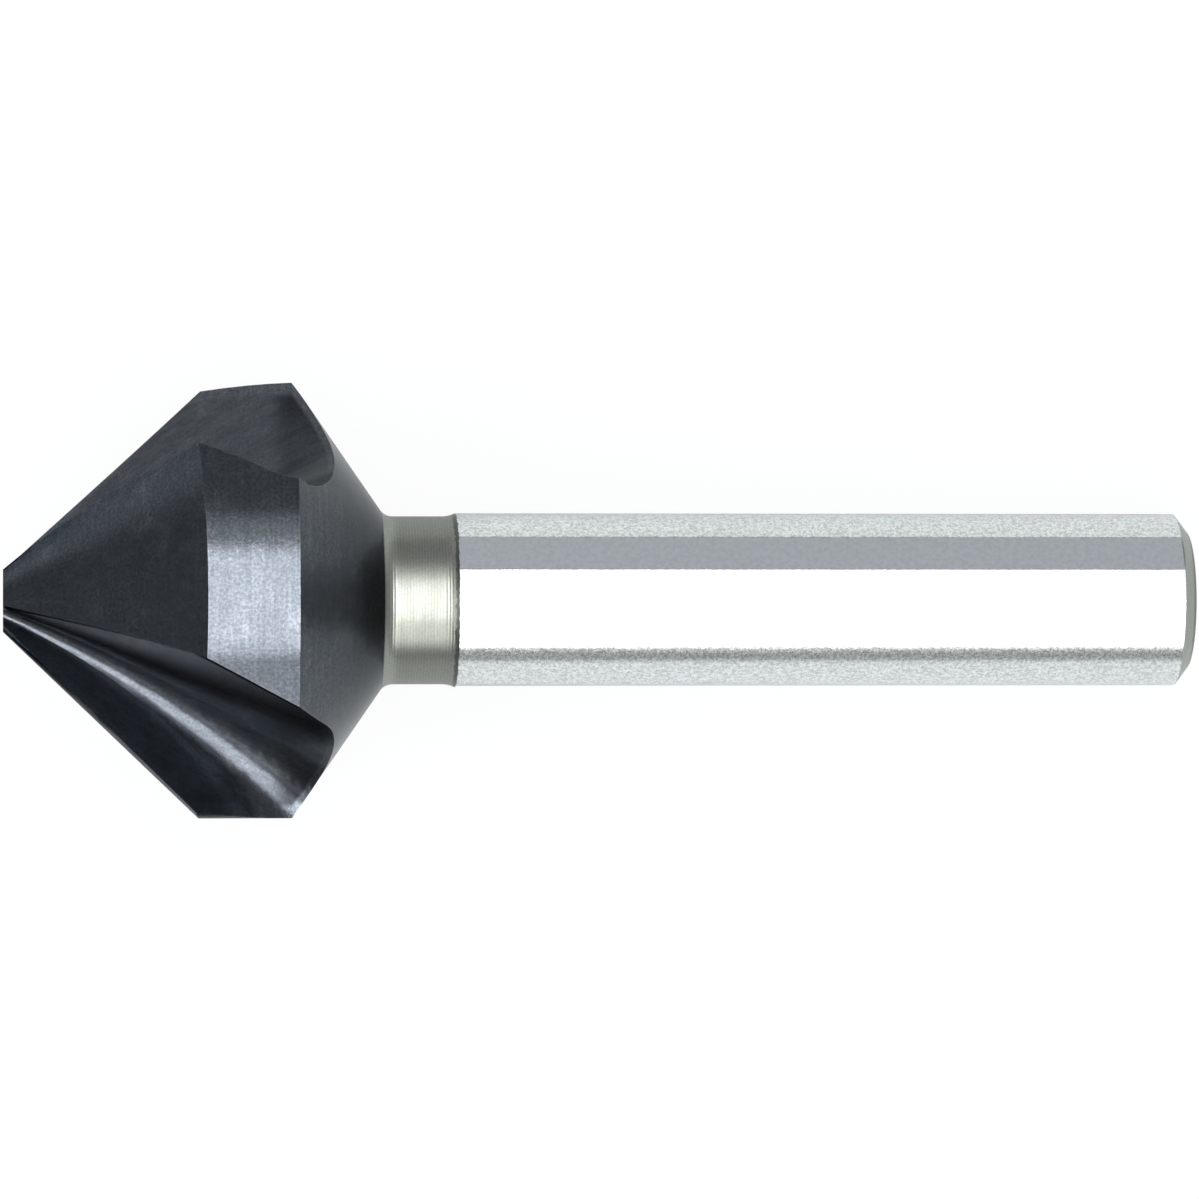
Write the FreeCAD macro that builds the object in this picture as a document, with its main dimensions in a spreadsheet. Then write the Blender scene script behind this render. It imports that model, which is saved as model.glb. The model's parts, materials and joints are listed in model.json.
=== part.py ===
"""Three-flute countersink bit with a turned neck and a three-flat shank.

The tool is built along its own axis, X, from the tip at X = 0 to the end of the shank.
It is then laid down as it comes to rest on a bench: on the two land corners beside the
lowest flute and on the rim of the shank's end. Lengths are millimetres, angles degrees.
"""
import FreeCAD, Part
import math
import os

import Sketcher
from FreeCAD import Placement, Rotation, Vector

PART_NAME = "countersink_bit"
FLUTES = 3

SIZES = {
    "overall_length": 68.3,
    "head_diameter": 25.0,
    "tip_diameter": 3.8,
    "point_angle": 90.0,
    "band_end": 16.5,
    "back_angle": 55.3,
    "neck_diameter": 9.65,
    "neck_length": 4.05,
    "neck_fillet_radius": 0.9,
    "neck_runout_length": 0.75,
    "shank_diameter": 10.0,
    "shank_flat_depth": 0.13,
    "shank_flat_turn": 33.5,
    "end_chamfer_length": 0.8,
    "end_chamfer_width": 1.05,
    "grinding_stock": 0.3,
    "relief_tilt": 3.5,
    "front_section_lead": 1.0,
    "front_root_side": 0.4,
    "front_root_height": 1.245,
    "front_root_radius": 0.41,
    "front_wall_angle": 80.0,
    "front_rake_angle": 35.0,
    "middle_section_setback": 0.6,
    "middle_root_side": 7.5,
    "middle_root_height": 4.03,
    "middle_root_radius": 2.9,
    "middle_wall_angle": 80.0,
    "middle_rake_angle": 27.0,
    "rear_section_overrun": 3.5,
    "rear_root_side": 16.6,
    "rear_root_height": 9.1,
    "rear_root_radius": 9.0,
    "rear_wall_angle": 88.0,
    "rear_rake_angle": 34.0,
}

# Where along the axis each section of a flute lies: just ahead of the tip, just behind the
# corner between cone and band, and behind the band, where the flute has left the steel
SECTION_PLACES = {
    "front": "-Sizes.front_section_lead",
    "middle": "(Sizes.head_diameter - Sizes.tip_diameter) / 2"
              " / tan(Sizes.point_angle / 2 * 1deg) + Sizes.middle_section_setback",
    "rear": "Sizes.band_end + Sizes.rear_section_overrun",
}

# Where the corner between back cone and neck would be without its fillet, and the shoulder
NECK_PLACE = ("Sizes.band_end + (Sizes.head_diameter - Sizes.neck_diameter) / 2"
              " / tan(Sizes.back_angle * 1deg)")
SHOULDER_PLACE = NECK_PLACE + " + Sizes.neck_length"

# How far the cutting sketches are drawn past the steel, as shares of the head's diameter
FLUTE_REACH = 0.8
RELIEF_DEPTH = 0.125

# Two points count as one within this distance, and the band is probed this deep in
SAME_PLACE = 0.01
PROBE_DEPTH = 0.5

# A point of a sketch line or arc, and the sketch's own origin, as the sketcher numbers them
START, END, CENTRE = 1, 2, 3
ORIGIN = (-1, START)


def size(name):
    """The number that the sheet holds under this name."""
    return float(SIZES[name])


def make_sheet(doc):
    sheet = doc.addObject("Spreadsheet::Sheet", "Sizes")
    for row, (name, number) in enumerate(SIZES.items(), start=1):
        sheet.set("A%d" % row, name)
        sheet.set("B%d" % row, str(number))
        sheet.setAlias("B%d" % row, name)
    doc.recompute()


def origin_feature(body, role):
    """One of the body's own origin planes or axes."""
    return next(item for item in body.Origin.OriginFeatures if item.Role == role)


def new_sketch(body, name, role):
    sketch = body.newObject("Sketcher::SketchObject", name)
    sketch.AttachmentSupport = [(origin_feature(body, role), "")]
    sketch.MapMode = "FlatFace"
    return sketch


def add_line(sketch, start, end, construction=False):
    line = Part.LineSegment(Vector(*start, 0), Vector(*end, 0))
    return sketch.addGeometry(line, construction)


def hold(sketch, *words):
    """A constraint with no size of its own."""
    sketch.addConstraint(Sketcher.Constraint(*words))


def drive(sketch, name, expression, *words):
    """A named constraint whose size follows the sheet. Its last word is the first value."""
    index = sketch.addConstraint(Sketcher.Constraint(*words))
    sketch.renameConstraint(index, name)
    sketch.setExpression("Constraints." + name, expression)


def add_arc(sketch, centre, radius, start, end):
    """An arc run anticlockwise between two angles in radians."""
    circle = Part.Circle(Vector(*centre, 0), Vector(0, 0, 1), radius)
    return sketch.addGeometry(Part.ArcOfCircle(circle, start, end), False)


def add_runout(sketch, foot, shoulder):
    """The hollow that the turning tool leaves as it backs out of the neck.

    Returns the arc, its end at the neck and its end at the shoulder. Arcs run
    anticlockwise, so the ends change places where the neck is thicker than the shank.
    """
    length = shoulder[0] - foot[0]
    height = shoulder[1] - foot[1]
    radius = (length ** 2 + height ** 2) / 2 / abs(height)
    sweep = math.asin(length / radius)
    if height > 0:
        centre = (foot[0], foot[1] + radius)
        return add_arc(sketch, centre, radius, -math.pi / 2, -math.pi / 2 + sweep), START, END
    centre = (foot[0], foot[1] - radius)
    return add_arc(sketch, centre, radius, math.pi / 2 - sweep, math.pi / 2), END, START


def close_outline(sketch, corners):
    """Straight lines round the corners, joined end to start. Returns the first line's index."""
    first = sketch.GeometryCount
    count = len(corners)
    for index in range(count):
        add_line(sketch, corners[index], corners[(index + 1) % count])
    for index in range(count):
        following = first + (index + 1) % count
        hold(sketch, "Coincident", first + index, END, following, START)
    return first


def make_blank(body):
    """The turned blank: point cone with grinding stock, band, back cone, neck and shank.

    The neck meets the back cone in a fillet and the shank's shoulder in a run-out.
    """
    tip = size("tip_diameter") / 2 + size("grinding_stock")
    head = size("head_diameter") / 2
    neck = size("neck_diameter") / 2
    shank = size("shank_diameter") / 2
    length = size("overall_length")
    band_end = size("band_end")
    cone_end = (head - tip) / math.tan(math.radians(size("point_angle") / 2))
    back = math.radians(size("back_angle"))
    neck_corner = band_end + (head - neck) / math.tan(back)
    shoulder = neck_corner + size("neck_length")
    chamfer_start = length - size("end_chamfer_length")
    end_radius = shank - size("end_chamfer_width")

    fillet_radius = size("neck_fillet_radius")
    tangent = fillet_radius * math.tan(back / 2)
    fillet_start = (neck_corner - tangent * math.cos(back), neck + tangent * math.sin(back))
    fillet_end = (neck_corner + tangent, neck)
    runout = size("neck_runout_length")
    runout_start = (shoulder - runout, neck)

    sketch = new_sketch(body, "BlankProfile", "XY_Plane")
    tip_face = add_line(sketch, (0, 0), (0, tip))
    cone = add_line(sketch, (0, tip), (cone_end, head))
    band = add_line(sketch, (cone_end, head), (band_end, head))
    back_cone = add_line(sketch, (band_end, head), fillet_start)
    fillet = add_arc(sketch, (fillet_end[0], neck + fillet_radius), fillet_radius,
                     -math.pi / 2 - back, -math.pi / 2)
    neck_line = add_line(sketch, fillet_end, runout_start)
    rise, rise_foot, rise_top = add_runout(sketch, runout_start, (shoulder, shank))
    shank_line = add_line(sketch, (shoulder, shank), (chamfer_start, shank))
    chamfer = add_line(sketch, (chamfer_start, shank), (length, end_radius))
    end_face = add_line(sketch, (length, end_radius), (length, 0))
    axis_line = add_line(sketch, (length, 0), (0, 0))

    hold(sketch, "Coincident", tip_face, START, *ORIGIN)
    corners = ((tip_face, cone), (cone, band), (band, back_cone), (shank_line, chamfer),
               (chamfer, end_face), (end_face, axis_line), (axis_line, tip_face))
    for before, after in corners:
        hold(sketch, "Coincident", before, END, after, START)
    for before, after in ((back_cone, fillet), (fillet, neck_line)):
        hold(sketch, "Tangent", before, END, after, START)
    hold(sketch, "Tangent", neck_line, END, rise, rise_foot)
    hold(sketch, "Coincident", rise, rise_top, shank_line, START)
    for line in (tip_face, end_face):
        hold(sketch, "Vertical", line)
    for line in (band, neck_line, shank_line, axis_line):
        hold(sketch, "Horizontal", line)
    drive(sketch, "tip_radius", "Sizes.tip_diameter / 2 + Sizes.grinding_stock",
          "DistanceY", *ORIGIN, tip_face, END, tip)
    drive(sketch, "point_half_angle", "Sizes.point_angle / 2",
          "Angle", cone, math.radians(size("point_angle") / 2))
    drive(sketch, "head_radius", "Sizes.head_diameter / 2",
          "DistanceY", *ORIGIN, band, START, head)
    drive(sketch, "band_end", "Sizes.band_end",
          "DistanceX", *ORIGIN, band, END, band_end)
    drive(sketch, "back_slope", "-Sizes.back_angle", "Angle", back_cone, -back)
    drive(sketch, "neck_radius", "Sizes.neck_diameter / 2",
          "DistanceY", *ORIGIN, neck_line, START, neck)
    drive(sketch, "neck_fillet", "Sizes.neck_fillet_radius", "Radius", fillet, fillet_radius)
    drive(sketch, "neck_runout", "Sizes.neck_runout_length",
          "DistanceX", rise, rise_foot, rise, rise_top, runout)
    drive(sketch, "shoulder", SHOULDER_PLACE,
          "DistanceX", *ORIGIN, shank_line, START, shoulder)
    drive(sketch, "shank_radius", "Sizes.shank_diameter / 2",
          "DistanceY", *ORIGIN, shank_line, START, shank)
    drive(sketch, "overall_length", "Sizes.overall_length",
          "DistanceX", *ORIGIN, end_face, END, length)
    drive(sketch, "chamfer_length", "Sizes.end_chamfer_length",
          "DistanceX", chamfer, START, chamfer, END, size("end_chamfer_length"))
    drive(sketch, "chamfer_width", "Sizes.end_chamfer_width",
          "DistanceY", chamfer, END, chamfer, START, size("end_chamfer_width"))

    blank = body.newObject("PartDesign::Revolution", "Blank")
    blank.Profile = sketch
    blank.ReferenceAxis = (sketch, ["H_Axis"])
    blank.Angle = 360


def make_relief(body):
    """Backs the point cone off behind each cutting edge.

    The land is ground to a cone through the same apex, whose axis leans away from the
    land. It meets the true point cone 60 degrees ahead of the lean's plane, where the
    cutting edge is, and falls away from it towards the heel.
    """
    half = math.radians(size("point_angle") / 2)
    lean = math.radians(size("relief_tilt"))
    apex = -size("tip_diameter") / 2 / math.tan(half)
    slope = half + lean / 2 - lean
    long_side = size("head_diameter")
    short_side = size("head_diameter") * RELIEF_DEPTH
    along = (math.cos(slope), math.sin(slope))
    outward = (-math.sin(slope), math.cos(slope))
    near = (apex, 0)
    far = (apex + long_side * along[0], long_side * along[1])
    far_out = (far[0] + short_side * outward[0], far[1] + short_side * outward[1])
    near_out = (near[0] + short_side * outward[0], near[1] + short_side * outward[1])

    sketch = new_sketch(body, "ReliefProfile", "XZ_Plane")
    close_outline(sketch, [near, far, far_out, near_out])
    cone, far_edge, outer_edge, near_edge = 0, 1, 2, 3
    axis_end = (apex + long_side * math.cos(lean), -long_side * math.sin(lean))
    leaning_axis = add_line(sketch, near, axis_end, construction=True)
    hold(sketch, "Coincident", leaning_axis, START, cone, START)
    hold(sketch, "PointOnObject", cone, START, -1)
    hold(sketch, "Perpendicular", cone, near_edge)
    hold(sketch, "Parallel", cone, outer_edge)
    hold(sketch, "Parallel", near_edge, far_edge)
    hold(sketch, "Equal", leaning_axis, cone)
    drive(sketch, "apex", "-Sizes.tip_diameter / 2 / tan(Sizes.point_angle / 2 * 1deg)",
          "DistanceX", *ORIGIN, cone, START, apex)
    drive(sketch, "lean", "-Sizes.relief_tilt", "Angle", leaning_axis, -lean)
    drive(sketch, "land_slope", "Sizes.point_angle / 2 - Sizes.relief_tilt / 2",
          "Angle", cone, slope)
    drive(sketch, "long_side", "Sizes.head_diameter", "Distance", cone, long_side)
    drive(sketch, "short_side", "Sizes.head_diameter * %s" % RELIEF_DEPTH,
          "Distance", near_edge, short_side)

    relief = body.newObject("PartDesign::Groove", "LandRelief")
    relief.Profile = sketch
    relief.ReferenceAxis = (sketch, ["Axis0"])
    relief.Angle = 360
    return repeat_round_axis(body, relief, "LandReliefs")


def repeat_round_axis(body, feature, name):
    """The same cut once for each flute, equally spaced."""
    pattern = body.newObject("PartDesign::PolarPattern", name)
    pattern.Originals = [feature]
    pattern.Axis = (origin_feature(body, "X_Axis"), [""])
    pattern.Angle = 360
    pattern.Occurrences = FLUTES
    body.Tip = pattern
    return pattern


def flute_section(body, end):
    """The flute's cross-section at its front, middle or rear.

    A steep wall runs down from the heel of one land into a round root, and the rake
    face rises from the root to the cutting edge of the next land.
    """
    side = size(end + "_root_side")
    height = size(end + "_root_height")
    radius = size(end + "_root_radius")
    wall_angle = math.radians(size(end + "_wall_angle"))
    rake_angle = math.radians(size(end + "_rake_angle"))
    reach = size("head_diameter") * FLUTE_REACH
    reach_text = "Sizes.head_diameter * %s" % FLUTE_REACH

    sketch = new_sketch(body, "Flute" + end.capitalize(), "YZ_Plane")
    sketch.setExpression("AttachmentOffset.Base.z", SECTION_PLACES[end])
    root_from = -math.pi / 2 - rake_angle
    root_to = -math.pi / 2 + wall_angle
    root = add_arc(sketch, (-side, height), radius, root_from, root_to)

    def on_root(angle):
        return (-side + radius * math.cos(angle), height + radius * math.sin(angle))

    def beyond(point, angle):
        return (point[0] + reach * math.cos(angle), point[1] + reach * math.sin(angle))

    wall_foot = on_root(root_to)
    wall_top = beyond(wall_foot, wall_angle)
    rake_foot = on_root(root_from)
    rake_top = beyond(rake_foot, math.pi - rake_angle)
    wall = add_line(sketch, wall_foot, wall_top)
    mouth = add_line(sketch, wall_top, rake_top)
    rake = add_line(sketch, rake_foot, rake_top)
    hold(sketch, "Tangent", root, END, wall, START)
    hold(sketch, "Tangent", root, START, rake, START)
    hold(sketch, "Coincident", wall, END, mouth, START)
    hold(sketch, "Coincident", mouth, END, rake, END)
    drive(sketch, "root_side", "-Sizes.%s_root_side" % end,
          "DistanceX", *ORIGIN, root, CENTRE, -side)
    drive(sketch, "root_height", "Sizes.%s_root_height" % end,
          "DistanceY", *ORIGIN, root, CENTRE, height)
    drive(sketch, "root_radius", "Sizes.%s_root_radius" % end, "Radius", root, radius)
    drive(sketch, "wall_angle", "Sizes.%s_wall_angle" % end, "Angle", wall, wall_angle)
    drive(sketch, "rake_angle", "180 - Sizes.%s_rake_angle" % end,
          "Angle", rake, math.pi - rake_angle)
    drive(sketch, "wall_reach", reach_text, "Distance", wall, reach)
    drive(sketch, "rake_reach", reach_text, "Distance", rake, reach)
    return sketch


def make_flutes(body):
    """The flutes widen and rise from the tip and run out through the back cone."""
    front, middle, rear = [flute_section(body, end) for end in ("front", "middle", "rear")]
    flute = body.newObject("PartDesign::SubtractiveLoft", "Flute")
    flute.Profile = front
    flute.Sections = [middle, rear]
    flute.Ruled = False
    return repeat_round_axis(body, flute, "Flutes")


def make_shank_flats(body):
    """Three shallow flats for the chuck's jaws, from the neck to the end of the shank."""
    shank = size("shank_diameter") / 2
    flat = shank - size("shank_flat_depth")
    sketch = new_sketch(body, "ShankFlatProfile", "YZ_Plane")
    sketch.setExpression("AttachmentOffset.Base.z", "Sizes.overall_length")
    sketch.setExpression("AttachmentOffset.Rotation.Angle", "-Sizes.shank_flat_turn")
    outer = flat + shank
    close_outline(sketch, [(-shank, flat), (shank, flat), (shank, outer), (-shank, outer)])
    floor_line, right_line, top_line, left_line = 0, 1, 2, 3
    hold(sketch, "Symmetric", floor_line, START, floor_line, END, -2)
    hold(sketch, "Horizontal", top_line)
    for line in (right_line, left_line):
        hold(sketch, "Vertical", line)
    drive(sketch, "flat_height", "Sizes.shank_diameter / 2 - Sizes.shank_flat_depth",
          "DistanceY", *ORIGIN, floor_line, START, flat)
    drive(sketch, "cut_width", "Sizes.shank_diameter",
          "Distance", floor_line, shank * 2)
    drive(sketch, "cut_height", "Sizes.shank_diameter / 2", "Distance", right_line, shank)

    pocket = body.newObject("PartDesign::Pocket", "ShankFlat")
    pocket.Profile = sketch
    pocket.setExpression("Length", "Sizes.overall_length - (%s)" % SHOULDER_PLACE)
    return repeat_round_axis(body, pocket, "ShankFlats")


def build_body(doc):
    """Runs the features in order and checks that each one takes steel away."""
    body = doc.addObject("PartDesign::Body", "CountersinkBit")
    body.Label = PART_NAME
    make_blank(body)
    doc.recompute()
    volume = body.Shape.Volume
    for make_cut in (make_relief, make_flutes, make_shank_flats):
        pattern = make_cut(body)
        doc.recompute()
        left = body.Shape.Volume
        print("%-12s %9.2f mm3 after %9.2f mm3" % (pattern.Name, left, volume))
        if not 0 < left < volume:
            raise RuntimeError(pattern.Name + " took nothing away")
        volume = left
    return body


def land_corners(shape):
    """Angles round the axis of the land corners at the rear of the band.

    They are measured from straight up, Z, towards -Y.
    """
    band_end = size("band_end")
    head = size("head_diameter") / 2
    angles = []
    for vertex in shape.Vertexes:
        point = vertex.Point
        radius = math.hypot(point.y, point.z)
        if abs(point.x - band_end) < SAME_PLACE and abs(radius - head) < SAME_PLACE:
            angles.append(math.degrees(math.atan2(-point.y, point.z)) % 360)
    return sorted(angles)


def rest_placement(shape):
    """Lays the tool down on two land corners and the rim of the shank's end.

    The flute that looks most nearly down is turned to look straight down. The nose then
    rises until the rim of the shank is level with the two corners beside that flute.
    """
    corners = land_corners(shape)
    pairs = list(zip(corners, corners[1:] + [corners[0] + 360]))
    flute_pairs = [pair for pair in pairs if opens_between(shape, pair)]
    lowest = min(flute_pairs, key=lambda pair: abs((pair[0] + pair[1]) / 2 - 180))
    middle = (lowest[0] + lowest[1]) / 2
    half_gap = math.radians((lowest[1] - lowest[0]) / 2)
    head_drop = size("head_diameter") / 2 * math.cos(half_gap)
    rim_drop = size("shank_diameter") / 2
    rim_place = size("overall_length") - size("end_chamfer_length")
    span = rim_place - size("band_end")
    tilt = math.degrees(math.atan2(head_drop - rim_drop, span))
    print("land corners", [round(angle, 2) for angle in corners])
    print("turned by %.3f, nose up by %.3f degrees" % (180 - middle, tilt))

    turned = Rotation(Vector(1, 0, 0), 180 - middle)
    tilted = Rotation(Vector(0, 1, 0), tilt)
    lying = Placement(Vector(0, 0, 0), tilted.multiply(turned))
    box = shape.transformed(lying.toMatrix(), True).optimalBoundingBox(False, False)
    shift = Vector(-(box.XMin + box.XMax) / 2, -(box.YMin + box.YMax) / 2, -box.ZMin)
    print("tip's centre at %.4f %.4f %.4f" % tuple(shift))
    return Placement(shift, lying.Rotation)


def opens_between(shape, pair):
    """True where the band between two corners is cut away by a flute."""
    middle = math.radians((pair[0] + pair[1]) / 2)
    reach = size("head_diameter") / 2 - PROBE_DEPTH
    place = size("band_end") - PROBE_DEPTH
    point = Vector(place, -reach * math.sin(middle), reach * math.cos(middle))
    return not shape.isInside(point, SAME_PLACE, True)


def check(doc, body):
    for item in doc.Objects:
        if "Invalid" in item.State or "Error" in item.State:
            raise RuntimeError("%s failed: %s" % (item.Name, item.State))
    shape = body.Shape
    if shape.isNull() or not shape.isValid() or len(shape.Solids) != 1:
        raise RuntimeError("the bit is not one valid solid")


def main():
    doc = FreeCAD.newDocument("Countersink")
    make_sheet(doc)
    body = build_body(doc)
    body.Placement = rest_placement(body.Shape)
    doc.recompute()
    check(doc, body)
    os.makedirs("parts", exist_ok=True)
    body.Shape.exportStep("parts/%s.step" % body.Label)
    box = body.Shape.optimalBoundingBox(False, False)
    print("size %.3f x %.3f x %.3f mm, lowest %.4f"
          % (box.XLength, box.YLength, box.ZLength, box.ZMin))
    print("volume %.2f mm3, faces %d" % (body.Shape.Volume, len(body.Shape.Faces)))


main()
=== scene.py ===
import json
import math

import bpy
from mathutils import Matrix, Vector

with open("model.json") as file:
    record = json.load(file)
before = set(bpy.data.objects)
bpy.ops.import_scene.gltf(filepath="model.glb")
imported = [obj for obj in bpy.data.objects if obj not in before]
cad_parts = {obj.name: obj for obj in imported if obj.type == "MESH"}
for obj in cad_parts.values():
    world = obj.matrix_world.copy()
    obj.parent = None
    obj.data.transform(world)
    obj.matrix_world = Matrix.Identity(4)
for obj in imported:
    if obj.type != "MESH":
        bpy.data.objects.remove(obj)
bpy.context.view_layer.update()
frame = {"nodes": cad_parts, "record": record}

MM = 0.001
BIT = "countersink_bit"

# Places along the tool's axis, in millimetres from the tip
CONE_END = 10.6
RUNOUT_START = 14.9
BAND_END = 16.5
NECK_START = 21.81
SHOULDER = 25.864
CHAMFER_START = 67.5
TOOL_END = 68.3

# Radii in millimetres
TIP_RADIUS = 1.9
HEAD_RADIUS = 12.5
NECK_RADIUS = 4.825
SHANK_RADIUS = 5.0
RUNOUT_RADIUS = 9.2
RUNOUT_RIM_RADIUS = 11.4

# The back cone's radius shrinks by this much for each millimetre along the axis
BACK_SLOPE = math.tan(math.radians(55.3))

# How the tool is turned about its own axis as it lies, in degrees
REST_TURN = 2.398

# The camera in the tool's own frame: it looks square across the axis but for a small lean
CAMERA_LEAN = 4.8
CAMERA_AIM = 34.25
CAMERA_DISTANCE = 403.0
FOCAL_PIXELS = 7000.0
IMAGE_PIXELS = 1199
SENSOR_WIDTH = 36.0
AXIS_PIXEL_X = 600.0
AXIS_PIXEL_Y = 600.3

# The lamps' distance from the tool, in millimetres
LAMP_DISTANCE = 700.0

# The world's greys, and where along the direction of the tip one turns into the other
WORLD_OPEN_SIDE = (0.41, 0.425, 0.435, 1.0)
WORLD_TIP_SIDE = (0.28, 0.288, 0.295, 1.0)
TIP_SIDE_EDGE = 0.03
OPEN_SIDE_EDGE = 0.16
WORLD_LOW_SHARE = 0.70
LOW_SHARE_END = 0.2

# Colours of the bit
COATING = (0.076, 0.084, 0.097, 1.0)
COATING_LIGHT = (0.112, 0.121, 0.134, 1.0)
NECK_STEEL = (0.258, 0.265, 0.236, 1.0)
SHANK_STEEL = (0.90, 0.925, 0.905, 1.0)
FLAT_STEEL = (0.82, 0.85, 0.89, 1.0)
CHAMFER_STEEL = (0.36, 0.37, 0.33, 1.0)
# Partly bare steel and partly a painted edge highlight, laid along the corners
BARE_EDGE_AND_HIGHLIGHT = (0.34, 0.36, 0.38, 1.0)
BURR_DARK = (0.085, 0.09, 0.08, 1.0)
NO_TINT = (1.0, 1.0, 1.0, 1.0)
# Painted shade on the lands where they are seen edge on
LAND_EDGE_PAINTED_SHADE = (0.18, 0.19, 0.20, 1.0)

# How much of its colour a part of the bit keeps
FLUTE_SHARE = 0.78
RUNOUT_SHARE = 0.52
RUNOUT_RIM_SHARE = 0.30
# Painted shade: the back cone's lands keep this share of their colour next to the neck, where they mirror
# the tool's shadow on the bench
NECK_SIDE_PAINTED_SHADE = 0.46
FILLET_SHARE = 1.3
END_RIM_SHARE = 0.55
CLOUD_STRENGTH = 0.9
SCRATCH_STRENGTH = 0.35
# How much of the corners shows wear and painted edge highlight
WORN_AND_HIGHLIT_LEAST = 0.02
WORN_AND_HIGHLIT_MOST = 0.35
GROOVE_CONTRAST = 0.07
BURR_COVER = 0.85

# Roughness, from the smoothest to the dullest grain
LAND_ROUGH = (0.13, 0.26)
FLUTE_ROUGH = (0.17, 0.27)
SHANK_ROUGH = (0.13, 0.27)
NECK_ROUGH = 0.34
CHAMFER_ROUGH = 0.30

# Small forms of the surface, in millimetres
LAND_RELIEF = 0.006
FLUTE_RELIEF = 0.0025
SHANK_RELIEF = 0.0045
GROOVE_RELIEF = (0.0024, 0.0036)
GROOVE_PITCH = 0.17
BURR_WIDTH = 0.22
BURR_TEETH = 0.36
# Width of the corners' wear and painted edge highlight
WORN_AND_HIGHLIT_RADIUS = 0.10

# The bench
BENCH_SIZE = 6.0
BENCH_COLOUR = (0.445, 0.467, 0.473, 1.0)
BENCH_WHITE = 1.05
SHADOW_SEEN = 0.12
SHADOW_MIRRORED = 0.85


def tool_frame():
    """The tool's frame: X along its axis from the tip, Y up in the picture, Z out of it."""
    shank = frame["record"]["mounts"][0]
    axis = Vector(shank["axis"]).normalized()
    middle = (SHOULDER + CHAMFER_START) / 2 * MM
    tip = Vector(shank["pos_m"]) - axis * middle
    nose_up = math.atan2(-axis.z, axis.x)
    lying = Matrix.Rotation(nose_up, 4, "Y") @ Matrix.Rotation(math.radians(REST_TURN), 4, "X")
    return Matrix.Translation(tip) @ lying


TOOL = tool_frame()


def facing(direction, distance, aim):
    """A lamp's or camera's place, in the tool's frame, that looks back along the direction."""
    back = Vector(direction).normalized()
    right = Vector((0, 1, 0)).cross(back).normalized()
    up = back.cross(right)
    turned = Matrix((right, up, back)).transposed().to_4x4()
    place = Vector((aim * MM, 0, 0)) + back * distance * MM
    return TOOL @ Matrix.Translation(place) @ turned


# The camera

def add_camera():
    """One camera whose picture covers the photograph's frame."""
    data = bpy.data.cameras.new("camera")
    data.sensor_width = SENSOR_WIDTH
    data.lens = SENSOR_WIDTH * FOCAL_PIXELS / IMAGE_PIXELS
    data.shift_x = (IMAGE_PIXELS / 2 - AXIS_PIXEL_X) / IMAGE_PIXELS
    data.shift_y = (AXIS_PIXEL_Y - IMAGE_PIXELS / 2) / IMAGE_PIXELS
    camera = bpy.data.objects.new("camera", data)
    bpy.context.collection.objects.link(camera)
    lean = math.radians(CAMERA_LEAN)
    camera.matrix_world = facing((-math.sin(lean), 0, math.cos(lean)), CAMERA_DISTANCE, CAMERA_AIM)
    bpy.context.scene.camera = camera


# The light

def add_softbox(name, along, across, width, height, radiance):
    """A square lamp seen from the tool: along and across are its angles from straight out."""
    data = bpy.data.lights.new(name, "AREA")
    data.shape = "RECTANGLE"
    data.size = width
    data.size_y = height
    data.energy = radiance * math.pi * width * height
    lamp = bpy.data.objects.new(name, data)
    bpy.context.collection.objects.link(lamp)
    along = math.radians(along)
    across = math.radians(across)
    direction = (math.sin(along) * math.cos(across), math.sin(across), math.cos(along) * math.cos(across))
    lamp.matrix_world = facing(direction, LAMP_DISTANCE, CAMERA_AIM)


def add_lamps():
    """The softboxes that the photograph's highlights show, each lighting one side of the tool."""
    add_softbox("softbox_over", along=1.0, across=-0.6, width=0.31, height=0.73, radiance=6.9)
    add_softbox("softbox_high_side", along=1.0, across=36.0, width=0.5, height=0.20, radiance=1.15)
    add_softbox("softbox_tip_side", along=-52, across=-8, width=0.56, height=0.5, radiance=3.0)
    add_softbox("softbox_low_side", along=1.0, across=-47.75, width=0.5, height=0.408, radiance=2.6)
    add_softbox("softbox_behind_tip", along=-95, across=55, width=0.42, height=0.36, radiance=0.55)


def add_world():
    """Plain grey all round, darker where the tip points and towards the picture's foot."""
    world = bpy.data.worlds.new("studio")
    bpy.context.scene.world = world
    world.use_nodes = True
    tree = world.node_tree
    background = tree.nodes["Background"]
    direction = tree.nodes.new("ShaderNodeTexCoord")
    parts = tree.nodes.new("ShaderNodeSeparateXYZ")
    tree.links.new(direction.outputs["Generated"], parts.inputs[0])

    # The ramp runs from 0 where the tip points to 1 where the shank's end does
    ahead = tree.nodes.new("ShaderNodeMath")
    ahead.operation = "MULTIPLY_ADD"
    ahead.inputs[1].default_value = 0.5
    ahead.inputs[2].default_value = 0.5
    ramp = tree.nodes.new("ShaderNodeValToRGB")
    tip_side, open_side = ramp.color_ramp.elements
    tip_side.color = WORLD_TIP_SIDE
    tip_side.position = TIP_SIDE_EDGE
    open_side.color = WORLD_OPEN_SIDE
    open_side.position = OPEN_SIDE_EDGE
    tree.links.new(parts.outputs["X"], ahead.inputs[0])
    tree.links.new(ahead.outputs[0], ramp.inputs[0])
    tree.links.new(ramp.outputs[0], background.inputs["Color"])

    lower = tree.nodes.new("ShaderNodeMapRange")
    lower.inputs["From Min"].default_value = -1.0
    lower.inputs["From Max"].default_value = LOW_SHARE_END
    lower.inputs["To Min"].default_value = WORLD_LOW_SHARE
    tree.links.new(parts.outputs["Y"], lower.inputs["Value"])
    tree.links.new(lower.outputs[0], background.inputs["Strength"])


# Helpers for the materials

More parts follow.
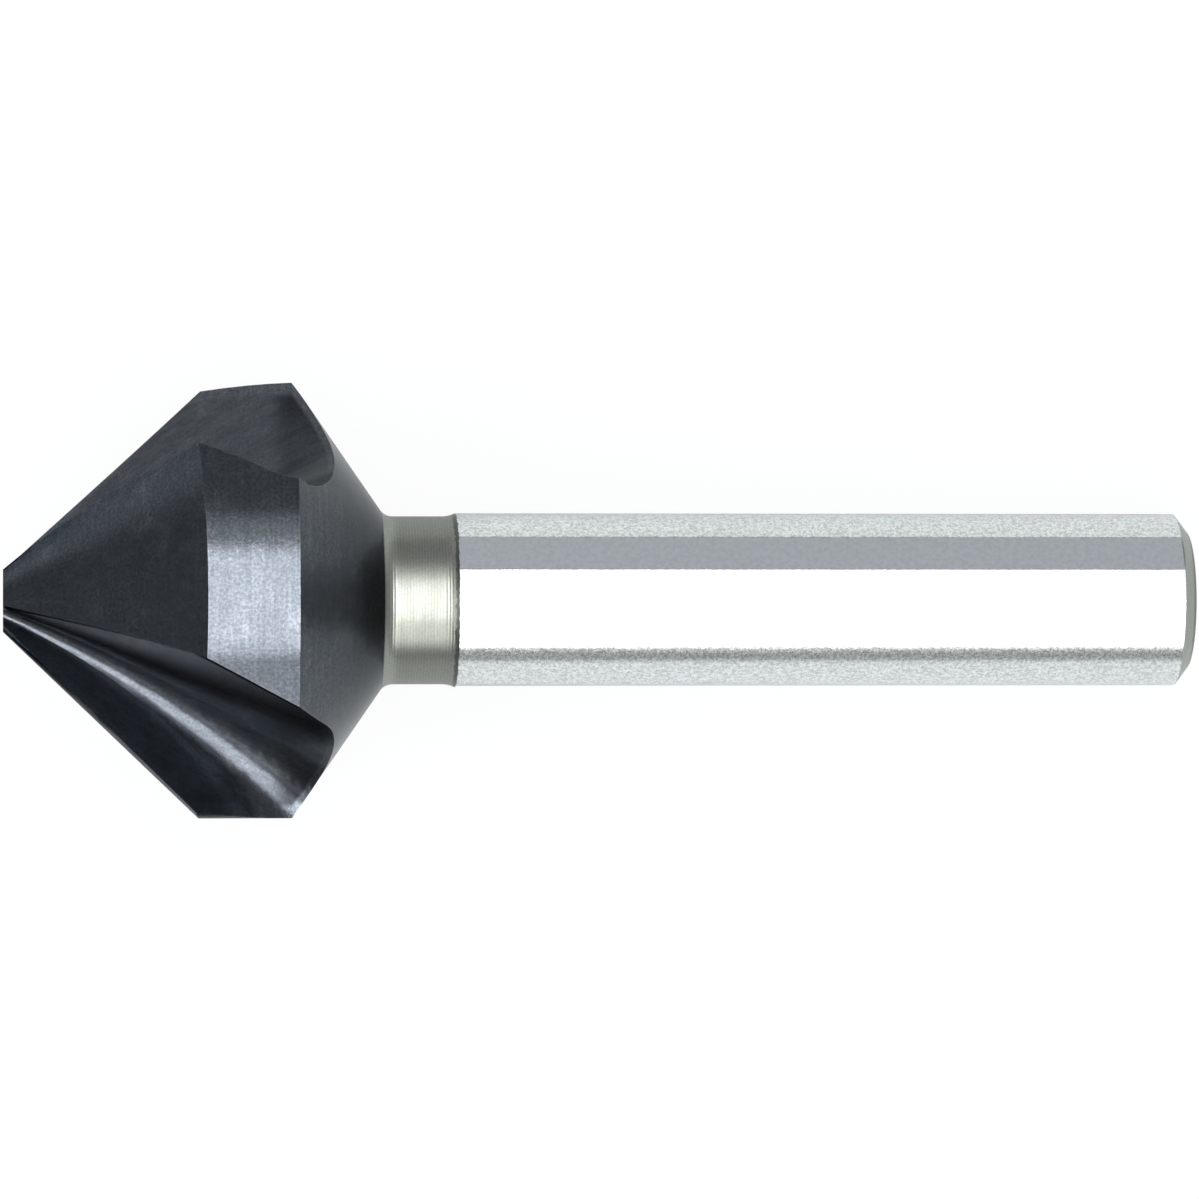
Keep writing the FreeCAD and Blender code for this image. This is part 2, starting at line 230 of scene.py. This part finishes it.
class Nodes:
    """Adds shader nodes to one material, with their inputs set or linked by name."""

    def __init__(self, name):
        self.material = bpy.data.materials.new(name)
        self.material.use_nodes = True
        self.tree = self.material.node_tree
        self.tree.nodes.clear()
        self.output = self.tree.nodes.new("ShaderNodeOutputMaterial")

    def feed(self, socket, value):
        """Links the value to the socket, or sets it there if it is a plain one."""
        if isinstance(value, bpy.types.NodeSocket):
            self.tree.links.new(value, socket)
        else:
            socket.default_value = value

    def add(self, kind, settings=None, **inputs):
        """One node of this kind. An underscore in an input's name stands for a space."""
        node = self.tree.nodes.new("ShaderNode" + kind)
        for name, value in (settings or {}).items():
            setattr(node, name, value)
        for name, value in inputs.items():
            self.feed(node.inputs[name.replace("_", " ")], value)
        return node

    def maths(self, operation, *values):
        """One arithmetic node: its first one to three values are numbers or sockets."""
        node = self.add("Math", {"operation": operation})
        for socket, value in zip(node.inputs, values):
            self.feed(socket, value)
        return node.outputs[0]

    def fade(self, value, low, high, bottom=0.0, top=1.0):
        """From bottom to top as the value goes from low to high."""
        node = self.add("MapRange", {"interpolation_type": "SMOOTHSTEP"}, Value=value,
                        From_Min=low, From_Max=high, To_Min=bottom, To_Max=top)
        return node.outputs[0]

    def blend(self, amount, first, second):
        """A colour between two others."""
        node = self.add("Mix", {"data_type": "RGBA"}, Factor=amount)
        colours = [socket for socket in node.inputs if socket.type == "RGBA"]
        self.feed(colours[0], first)
        self.feed(colours[1], second)
        return next(socket for socket in node.outputs if socket.type == "RGBA")

    def mix(self, amount, first, second):
        """A number between two others."""
        node = self.add("Mix", {"data_type": "FLOAT"})
        numbers = [socket for socket in node.inputs if socket.type == "VALUE"]
        self.feed(numbers[0], amount)
        self.feed(numbers[1], first)
        self.feed(numbers[2], second)
        return node.outputs[0]

    def shade(self, colour, amount):
        """A colour made lighter or darker."""
        node = self.add("VectorMath", {"operation": "SCALE"}, Scale=amount)
        self.feed(node.inputs[0], colour if isinstance(colour, bpy.types.NodeSocket) else colour[:3])
        return node.outputs[0]

    def noise(self, vector, scale=1.0, detail=4.0, roughness=0.5):
        """Noise between 0 and 1, around one half."""
        node = self.add("TexNoise", None, Vector=vector, Scale=scale, Detail=detail, Roughness=roughness)
        return node.outputs[0]

    def stretch(self, vector, scale):
        """The place made larger or smaller on each axis, before a noise reads it."""
        node = self.add("Mapping", {"vector_type": "POINT"}, Vector=vector, Scale=scale)
        return node.outputs[0]

    def tool_place(self):
        """The place on the tool in millimetres of the tool's own frame."""
        seen = self.add("TexCoord").outputs["Object"]
        turn = tuple(TOOL.to_euler("XYZ"))
        node = self.add("Mapping", {"vector_type": "TEXTURE"}, Vector=seen,
                        Location=tuple(TOOL.translation), Rotation=turn, Scale=(MM, MM, MM))
        return node.outputs[0]


def speckle(nodes, place, size, low, high, spread=0.18):
    """Fine grain whose features are about this many millimetres wide."""
    grain = nodes.noise(place, scale=1.0 / size, detail=2.0, roughness=0.7)
    return nodes.fade(grain, 0.5 - spread, 0.5 + spread, low, high)


def hairlines(nodes, vector, scale, width):
    """Thin lines, 1 on the line and 0 beside it, drawn out where the scale is small."""
    seen = nodes.noise(nodes.stretch(vector, scale), detail=2.0)
    off_line = nodes.maths("ABSOLUTE", nodes.maths("SUBTRACT", seen, 0.5))
    return nodes.fade(off_line, 0.0, width, 1.0, 0.0)


# Where a point lies on the bit

def land_depth(nodes, along, radius):
    """How deep a place lies under the turned outline of the head: the flutes are deep."""
    cone = nodes.maths("ADD", along, TIP_RADIUS)
    back = nodes.maths("MULTIPLY_ADD", along, -BACK_SLOPE, HEAD_RADIUS + BAND_END * BACK_SLOPE)
    outline = nodes.maths("MINIMUM", nodes.maths("MINIMUM", cone, back), HEAD_RADIUS)
    return nodes.maths("SUBTRACT", outline, radius)


class Tool:
    """Where a point of the surface lies on the tool, as shader values in millimetres."""

    def __init__(self, nodes):
        self.place = nodes.tool_place()
        parts = nodes.add("SeparateXYZ", None, Vector=self.place)
        self.along, up, out = parts.outputs
        squares = [nodes.maths("MULTIPLY", part, part) for part in (up, out)]
        self.radius = nodes.maths("SQRT", nodes.maths("ADD", *squares))
        self.angle = nodes.maths("ARCTAN2", up, out)
        self.on_neck = nodes.fade(self.along, NECK_START - 0.25, NECK_START - 0.15)
        self.on_shank = nodes.fade(self.along, SHOULDER - 0.02, SHOULDER + 0.02)
        self.on_chamfer = nodes.fade(self.along, CHAMFER_START - 0.03, CHAMFER_START + 0.03)
        self.on_cone = nodes.fade(self.along, CONE_END - 0.1, CONE_END + 0.1, 1.0, 0.0)
        self.on_front = nodes.fade(self.along, BAND_END - 0.05, BAND_END + 0.05, 1.0, 0.0)
        self.in_flute = nodes.fade(land_depth(nodes, self.along, self.radius), 0.5, 0.9)

    def unrolled(self, nodes, radius):
        """Unrolled round the axis at one radius: along, the arc and the depth."""
        arc = nodes.maths("MULTIPLY", self.angle, radius)
        return nodes.add("CombineXYZ", None, X=self.along, Y=arc, Z=self.radius).outputs[0]


# The finish of the bit

def flute_grain(nodes, tool):
    """Lines drawn along the flutes by the wheel that ground them."""
    slant = nodes.maths("MULTIPLY_ADD", tool.along, -0.5, tool.radius)
    drawn = nodes.add("CombineXYZ", None, X=nodes.maths("MULTIPLY", tool.along, 0.10),
                      Y=nodes.maths("MULTIPLY", tool.angle, 22.0),
                      Z=nodes.maths("MULTIPLY", slant, 2.5)).outputs[0]
    return nodes.noise(drawn, detail=4.0, roughness=0.65)


def coating_clouds(nodes, tool):
    """The dark coating's own colour, lighter in cloudy wisps."""
    clouds = nodes.noise(tool.place, scale=0.42, detail=5.0, roughness=0.62)
    wisps = nodes.noise(nodes.stretch(tool.place, (0.9, 1.3, 1.3)), scale=0.8, detail=6.0, roughness=0.68)
    cloudy = nodes.maths("MULTIPLY", nodes.fade(clouds, 0.40, 0.70), nodes.fade(wisps, 0.38, 0.68))
    return nodes.blend(nodes.maths("MULTIPLY", cloudy, CLOUD_STRENGTH), COATING, COATING_LIGHT)


def land_share(nodes, tool):
    """Grain, wheel lines and a few hairline scratches on the lands, with painted shade darkening the back
    cone towards the neck.
    """
    unrolled = tool.unrolled(nodes, HEAD_RADIUS)
    round_lines = nodes.noise(nodes.stretch(unrolled, (5.0, 0.15, 0.1)), detail=3.0, roughness=0.6)
    wheel_lines = nodes.fade(round_lines, 0.35, 0.65, nodes.mix(tool.on_cone, 0.91, 0.97),
                             nodes.mix(tool.on_cone, 1.07, 1.02))
    patches = nodes.fade(nodes.noise(tool.place, scale=0.9), 0.50, 0.60)
    thin_lines = hairlines(nodes, unrolled, scale=(1.7, 0.35, 0.1), width=0.012)
    scratches = nodes.maths("MULTIPLY", thin_lines, patches)
    lines = nodes.maths("MULTIPLY_ADD", scratches, SCRATCH_STRENGTH, wheel_lines)
    grain = speckle(nodes, tool.place, size=0.16, low=0.78, high=1.22)
    ahead = nodes.fade(tool.along, BAND_END, BAND_END + 1.0, 1.0, 0.0)
    # Painted shade on the back cone, darker towards the neck
    painted_shade_near_neck = nodes.fade(tool.radius, NECK_RADIUS, HEAD_RADIUS, NECK_SIDE_PAINTED_SHADE, 1.0)
    return nodes.maths("MULTIPLY", nodes.maths("MULTIPLY", grain, lines), nodes.mix(ahead, painted_shade_near_neck, 1.0))


def flute_share(nodes, tool, drawn):
    """Drawn lines and grain in the flutes, which get darker as they run out behind the band."""
    runout = nodes.fade(tool.radius, RUNOUT_RADIUS, RUNOUT_RIM_RADIUS, RUNOUT_SHARE, RUNOUT_RIM_SHARE)
    share = nodes.mix(nodes.fade(tool.along, RUNOUT_START, RUNOUT_START + 1.5), FLUTE_SHARE, runout)
    lines = nodes.fade(drawn, 0.35, 0.65, 0.88, 1.12)
    grain = speckle(nodes, tool.place, size=0.14, low=0.84, high=1.16)
    return nodes.maths("MULTIPLY", nodes.maths("MULTIPLY", lines, share), grain)


def coating_colour(nodes, tool, drawn):
    """The dark coating on the lands and in the flutes."""
    share = nodes.mix(tool.in_flute, land_share(nodes, tool), flute_share(nodes, tool, drawn))
    return nodes.shade(coating_clouds(nodes, tool), share)


def worn_and_highlit_edges(nodes, tool, colour):
    """Bare steel shows through here and there along the corners, which are also lightened as a painted
    edge highlight.
    """
    rounded = nodes.add("Bevel", {"samples": 4}, Radius=WORN_AND_HIGHLIT_RADIUS * MM)
    flat = nodes.add("NewGeometry").outputs["Normal"]
    across = nodes.add("VectorMath", {"operation": "DOT_PRODUCT"})
    nodes.feed(across.inputs[0], rounded.outputs[0])
    nodes.feed(across.inputs[1], flat)
    corner = nodes.fade(nodes.maths("SUBTRACT", 1.0, across.outputs["Value"]), 0.01, 0.10)
    patchy = nodes.fade(nodes.noise(tool.place, scale=1.4, detail=3.0), 0.40, 0.65)
    worn_and_highlit = nodes.maths("MULTIPLY", corner, nodes.mix(patchy, WORN_AND_HIGHLIT_LEAST, WORN_AND_HIGHLIT_MOST))
    return nodes.blend(worn_and_highlit, colour, BARE_EDGE_AND_HIGHLIGHT)


def neck_colour(nodes, tool, grooves):
    """Turned steel, darker in its grooves and lighter in the fillet behind the head."""
    fillet = nodes.fade(tool.along, NECK_START + 0.2, NECK_START + 0.8, FILLET_SHARE, 1.0)
    grain = speckle(nodes, tool.place, size=0.13, low=0.90, high=1.06)
    turned = nodes.maths("MULTIPLY_ADD", grooves, GROOVE_CONTRAST, fillet)
    return nodes.shade(NECK_STEEL, nodes.maths("MULTIPLY", turned, grain))


def shank_colour(nodes, tool):
    """Bright ground steel, mottled but for the smoother flats, and a darker chamfer."""
    on_flat = nodes.fade(tool.radius, SHANK_RADIUS - 0.02, SHANK_RADIUS - 0.008, 1.0, 0.0)
    unrolled = tool.unrolled(nodes, SHANK_RADIUS)
    smears = nodes.noise(nodes.stretch(unrolled, (2.6, 1.6, 0.1)), detail=5.0, roughness=0.75)
    fine_grit = speckle(nodes, tool.place, size=0.10, low=0.80, high=1.08, spread=0.08)
    coarse_grit = speckle(nodes, tool.place, size=0.22, low=0.80, high=1.08, spread=0.08)
    grit = nodes.maths("MULTIPLY", fine_grit, coarse_grit)
    mottle = nodes.maths("MULTIPLY", grit, nodes.fade(smears, 0.35, 0.65, 0.98, 1.03))
    mottle = nodes.mix(on_flat, mottle, speckle(nodes, tool.place, size=0.30, low=0.95, high=1.03))
    rim = nodes.fade(tool.along, TOOL_END - 0.25, TOOL_END - 0.05, 1.0, END_RIM_SHARE)
    ground = nodes.blend(on_flat, SHANK_STEEL, FLAT_STEEL)
    steel = nodes.blend(tool.on_chamfer, ground, CHAMFER_STEEL)
    return nodes.shade(steel, nodes.maths("MULTIPLY", mottle, rim))


def burr_cover(nodes, tool):
    """How much of the torn lip shows, where the neck was turned down from the shank."""
    jagged = nodes.noise(tool.place, scale=2.6, detail=3.0, roughness=0.6)
    teeth = nodes.maths("MULTIPLY_ADD", jagged, BURR_TEETH, -BURR_TEETH / 2)
    behind = nodes.maths("SUBTRACT", nodes.maths("ADD", tool.along, teeth), SHOULDER)
    lip = nodes.maths("MULTIPLY", nodes.fade(behind, -BURR_WIDTH, -BURR_WIDTH + 0.05),
                      nodes.fade(behind, 0.0, 0.04, 1.0, 0.0))
    return nodes.maths("MULTIPLY", lip, BURR_COVER)


def steel_roughness(nodes, tool, fine):
    """Each part's own range of roughness, which follows the fine grain."""
    smoothest, dullest = [nodes.mix(tool.in_flute, *pair) for pair in zip(LAND_ROUGH, FLUTE_ROUGH)]
    coating = nodes.mix(fine, smoothest, dullest)
    shank = nodes.mix(tool.on_chamfer, nodes.mix(fine, *SHANK_ROUGH), CHAMFER_ROUGH)
    return nodes.mix(tool.on_shank, nodes.mix(tool.on_neck, coating, NECK_ROUGH), shank)


def steel_relief(nodes, tool, fine, drawn, grooves):
    """Grain on the coating, turning grooves on the neck and fine grinding on the shank."""
    coating = nodes.mix(tool.in_flute, nodes.maths("MULTIPLY", fine, LAND_RELIEF),
                        nodes.maths("MULTIPLY", drawn, FLUTE_RELIEF))
    unrolled = tool.unrolled(nodes, NECK_RADIUS)
    chatter = nodes.noise(nodes.stretch(unrolled, (2.5, 0.5, 0.1)), detail=1.0)
    neck = nodes.maths("MULTIPLY", grooves, nodes.fade(chatter, 0.3, 0.7, *GROOVE_RELIEF))
    shank = nodes.maths("MULTIPLY", fine, SHANK_RELIEF)
    height = nodes.mix(tool.on_shank, nodes.mix(tool.on_neck, coating, neck), shank)
    return nodes.add("Bump", None, Strength=1.0, Distance=MM, Height=height).outputs[0]


def edge_on_painted_shade(nodes, tool):
    """Painted shade: keeps the lands of cone and band dark where they are seen edge on, in place of the
    bench's mirrored white.
    """
    on_land = nodes.maths("MULTIPLY", tool.on_front, nodes.maths("SUBTRACT", 1.0, tool.in_flute))
    return nodes.blend(on_land, NO_TINT, LAND_EDGE_PAINTED_SHADE)


def bit_steel():
    """Dark coated head, turned neck and bright ground shank, told apart by place."""
    nodes = Nodes("bit_steel")
    tool = Tool(nodes)
    fine = nodes.noise(tool.place, scale=5.0, detail=3.0, roughness=0.7)
    drawn = flute_grain(nodes, tool)
    grooves = nodes.maths("SINE", nodes.maths("MULTIPLY", tool.along, 2 * math.pi / GROOVE_PITCH))

    # Wear and a painted highlight along the corners
    colour = worn_and_highlit_edges(nodes, tool, coating_colour(nodes, tool, drawn))
    colour = nodes.blend(tool.on_neck, colour, neck_colour(nodes, tool, grooves))
    colour = nodes.blend(tool.on_shank, colour, shank_colour(nodes, tool))
    colour = nodes.blend(burr_cover(nodes, tool), colour, BURR_DARK)
    surface = nodes.add("BsdfPrincipled", None, Base_Color=colour, Metallic=1.0,
                        Roughness=steel_roughness(nodes, tool, fine),
                        # Painted shade on the lands' edge-on reflection
                        Specular_Tint=edge_on_painted_shade(nodes, tool),
                        Normal=steel_relief(nodes, tool, fine, drawn, grooves))
    nodes.feed(nodes.output.inputs["Surface"], surface.outputs[0])
    return nodes.material


# The bench

def bench_white():
    """White to the eye and in the steel, with a faint shadow kept under the tool."""
    nodes = Nodes("bench_white")
    path = nodes.add("LightPath").outputs
    mirrored = nodes.maths("MAXIMUM", path["Is Glossy Ray"], path["Is Transmission Ray"])
    white_seen = nodes.maths("MULTIPLY", path["Is Camera Ray"], 1.0 - SHADOW_SEEN)
    white_mirrored = nodes.maths("MULTIPLY", mirrored, 1.0 - SHADOW_MIRRORED)
    lit = nodes.add("BsdfDiffuse", None, Color=BENCH_COLOUR)
    white = nodes.add("Emission", None, Color=(1, 1, 1, 1), Strength=BENCH_WHITE)
    both = nodes.add("MixShader", None, Fac=nodes.maths("MAXIMUM", white_seen, white_mirrored))
    nodes.feed(both.inputs[1], lit.outputs[0])
    nodes.feed(both.inputs[2], white.outputs[0])
    nodes.feed(nodes.output.inputs["Surface"], both.outputs[0])
    return nodes.material


def add_bench():
    """A wide bench under the tool, for the picture alone."""
    bpy.ops.object.select_all(action="DESELECT")
    bpy.ops.mesh.primitive_plane_add(size=BENCH_SIZE, location=(0, 0, 0))
    bench = bpy.context.object
    bench.name = "bench"
    bench.data.materials.append(bench_white())


# The picture

add_camera()
add_world()
add_lamps()

bit = frame["nodes"][BIT]
bit.material_slots[0].material = bit_steel()
add_bench()

bpy.context.scene.view_settings.view_transform = "Standard"
